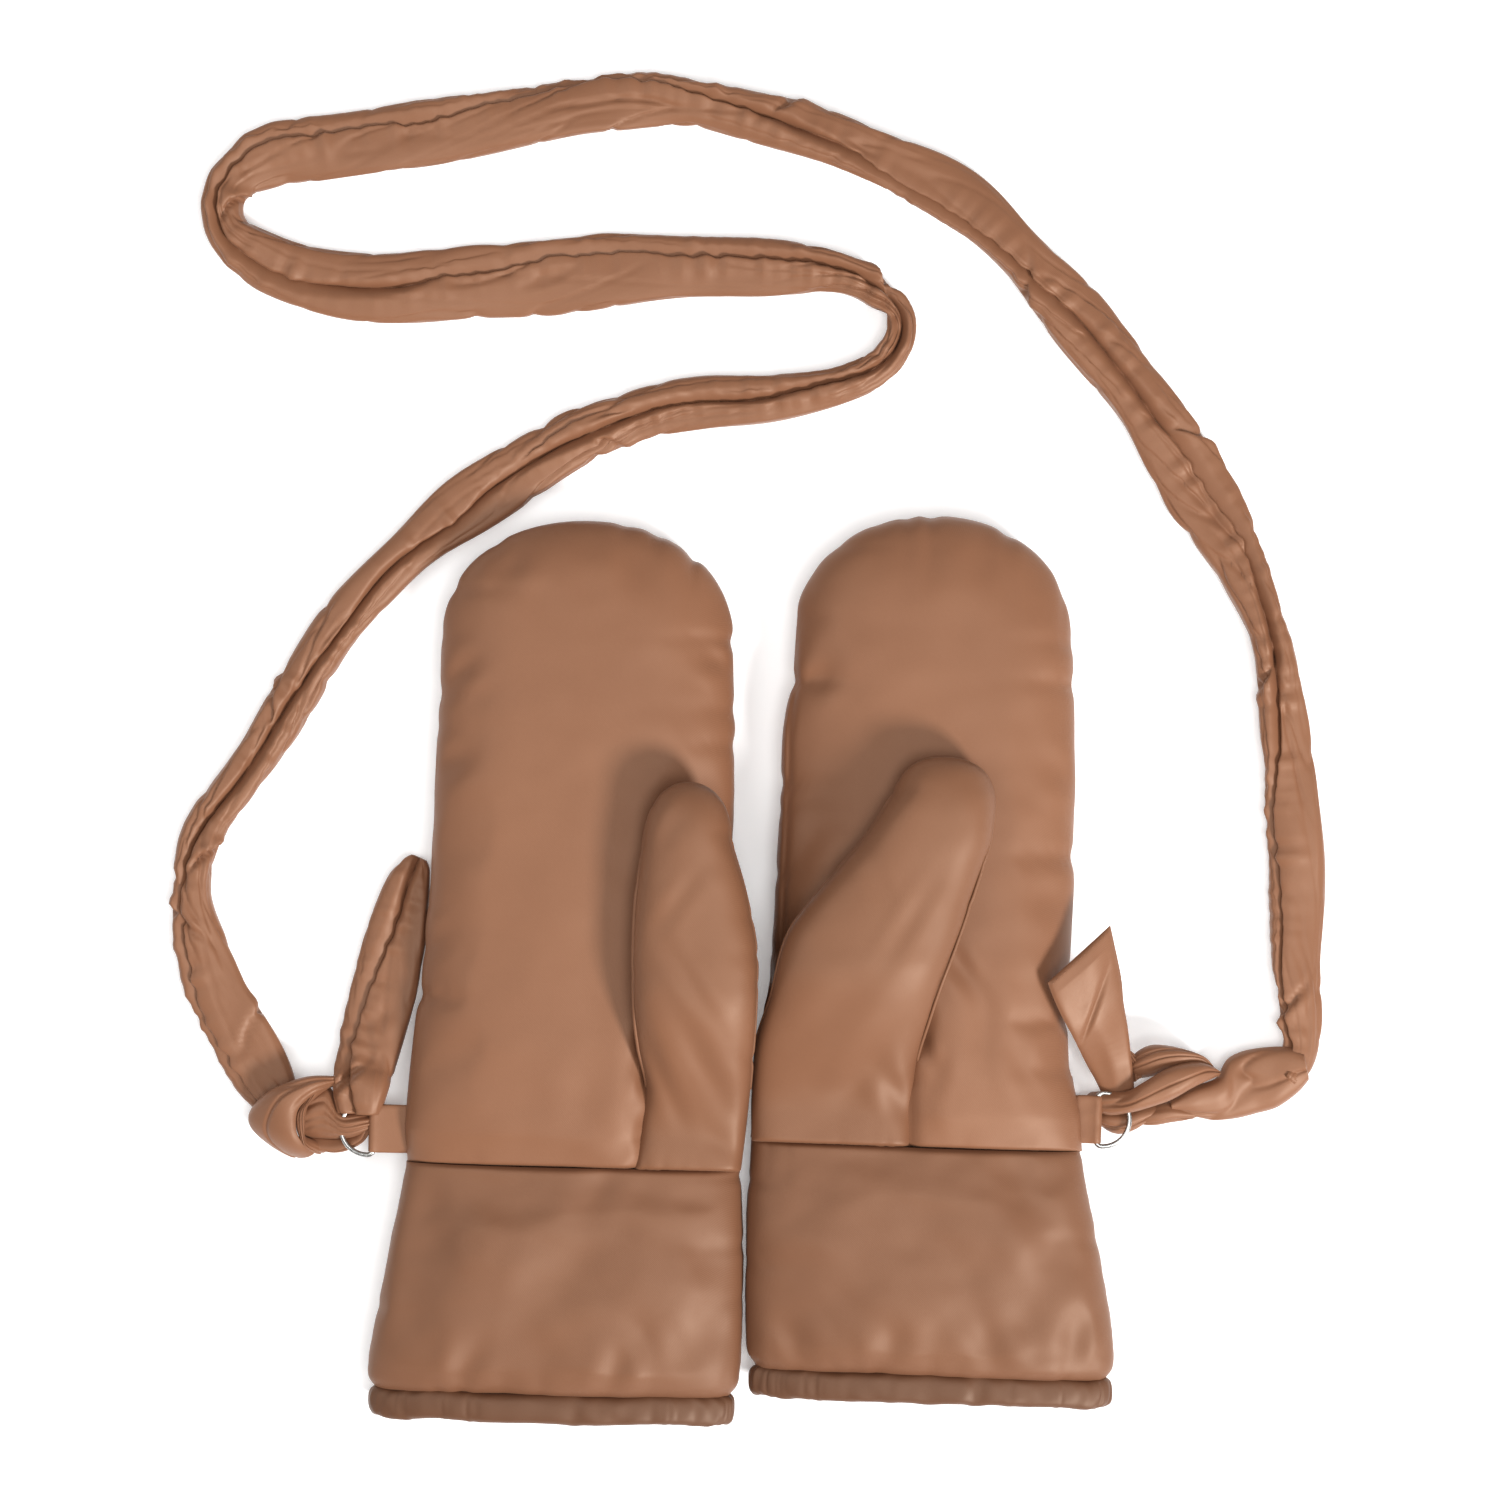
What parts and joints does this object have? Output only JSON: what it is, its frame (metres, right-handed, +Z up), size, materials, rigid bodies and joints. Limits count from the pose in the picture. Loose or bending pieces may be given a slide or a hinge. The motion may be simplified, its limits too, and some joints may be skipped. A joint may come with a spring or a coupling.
{
  "type": "ski mitten",
  "caption": "Long padded satin mittens with separate thumbs folded over the palms, joined by a soft neck strap knotted to a metal D-ring on each.",
  "frame": {"origin": "middle of the pair of mittens and their rings in X and Y, on the surface they lie on", "axes": "+Y from the cuffs to the fingertips, +X towards the mitten on the right, +Z up out of the palms"},
  "size_m": [0.472, 0.5446, 0.0616],
  "materials": {
    "satin": "brown satin, soft sheen",
    "wadding": "fibre wadding",
    "lining": "smooth lining",
    "nickel": "nickel plated wire"
  },
  "bodies": {
    "strap": {"neck_strap": "satin", "left_knot": "satin", "right_knot": "satin", "left_tail": "satin", "right_tail": "satin", "left_d_ring": "nickel", "right_d_ring": "nickel"},
    "left_mitten": {"left_hand_palm_shell": "satin", "left_hand_back_shell": "satin", "left_hand_palm_wadding": "wadding", "left_hand_back_wadding": "wadding", "left_palm_lining": "lining", "left_back_lining": "lining", "left_cuff_palm_shell": "satin", "left_cuff_back_shell": "satin", "left_cuff_palm_wadding": "wadding", "left_cuff_back_wadding": "wadding", "left_hem_binding": "satin", "left_thumb_root_shell": "satin", "left_thumb_root_wadding": "wadding", "left_thumb_root_lining": "lining", "left_ring_tab": "satin"},
    "left_thumb": {"left_thumb_front_shell": "satin", "left_thumb_back_shell": "satin", "left_thumb_wadding": "wadding", "left_thumb_lining": "lining"},
    "right_mitten": {"right_hand_palm_shell": "satin", "right_hand_back_shell": "satin", "right_hand_palm_wadding": "wadding", "right_hand_back_wadding": "wadding", "right_palm_lining": "lining", "right_back_lining": "lining", "right_cuff_palm_shell": "satin", "right_cuff_back_shell": "satin", "right_cuff_palm_wadding": "wadding", "right_cuff_back_wadding": "wadding", "right_hem_binding": "satin", "right_thumb_root_shell": "satin", "right_thumb_root_wadding": "wadding", "right_thumb_root_lining": "lining", "right_ring_tab": "satin"},
    "right_thumb": {"right_thumb_front_shell": "satin", "right_thumb_back_shell": "satin", "right_thumb_wadding": "wadding", "right_thumb_lining": "lining"}
  },
  "joints": [
    {"name": "left_mitten_swing", "type": "hinge", "parent": "strap", "child": "left_mitten", "pos_m": [-0.144, -0.0605, 0.01575], "axis": [-0.0244, -0.9997, 0], "range_deg": [0, 75]},
    {"name": "right_mitten_swing", "type": "hinge", "parent": "strap", "child": "right_mitten", "pos_m": [0.145, -0.057, 0.01575], "axis": [0.0366, 0.9993, 0], "range_deg": [0, 75], "deforming": ["right_tail"]},
    {"name": "left_thumb_lift", "type": "hinge", "parent": "left_mitten", "child": "left_thumb", "pos_m": [-0.01432, -0.04316, 0.0616], "axis": [0.9997, -0.0244, 0], "range_deg": [0, 50]},
    {"name": "right_thumb_lift", "type": "hinge", "parent": "right_mitten", "child": "right_thumb", "pos_m": [0.04061, -0.03266, 0.0616], "axis": [0.9993, -0.0366, 0], "range_deg": [0, 50]}
  ]
}
